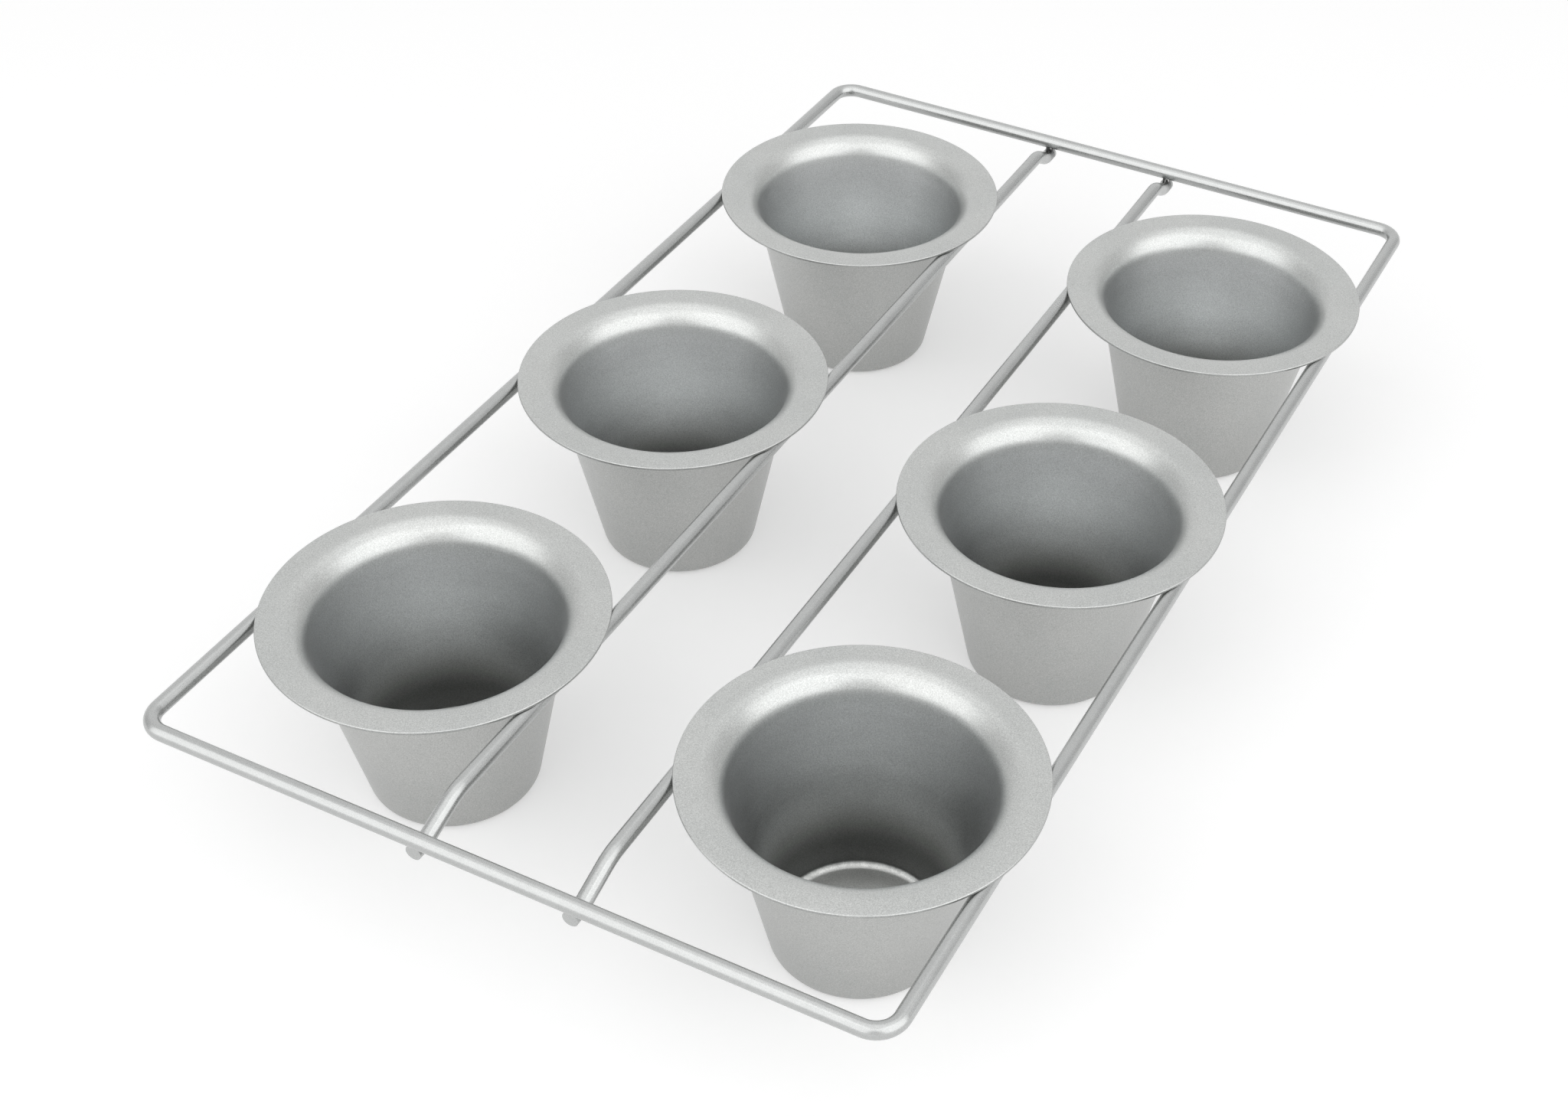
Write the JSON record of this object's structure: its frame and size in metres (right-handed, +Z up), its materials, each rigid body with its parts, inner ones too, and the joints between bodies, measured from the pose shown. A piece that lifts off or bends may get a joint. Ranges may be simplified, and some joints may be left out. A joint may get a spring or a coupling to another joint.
{
  "type": "popover pan",
  "caption": "Popover pan: deep tapered cups with flat rolled flanges, welded in two columns into a rectangular carrier of round wire.",
  "frame": {"origin": "midway between the cups, on the plane that their flat bottoms stand on", "axes": "+X across the columns towards the right-hand cups, +Y along the rows from the front end to the back end, +Z up"},
  "size_m": [0.2268, 0.3958, 0.0608],
  "materials": {
    "cup_sheet": "satin grey coating with a fine even grain",
    "frame_wire": "satin plated wire, a little shinier than the cups",
    "weld_metal": "dull weld nugget"
  },
  "bodies": {
    "root": {"outer_frame": "frame_wire", "inner_rail_left": "frame_wire", "inner_rail_right": "frame_wire", "cup_front_left": "cup_sheet", "cup_middle_left": "cup_sheet", "cup_back_left": "cup_sheet", "cup_front_right": "cup_sheet", "cup_middle_right": "cup_sheet", "cup_back_right": "cup_sheet", "rail_welds": "weld_metal", "cup_welds": "weld_metal"}
  },
  "joints": []
}
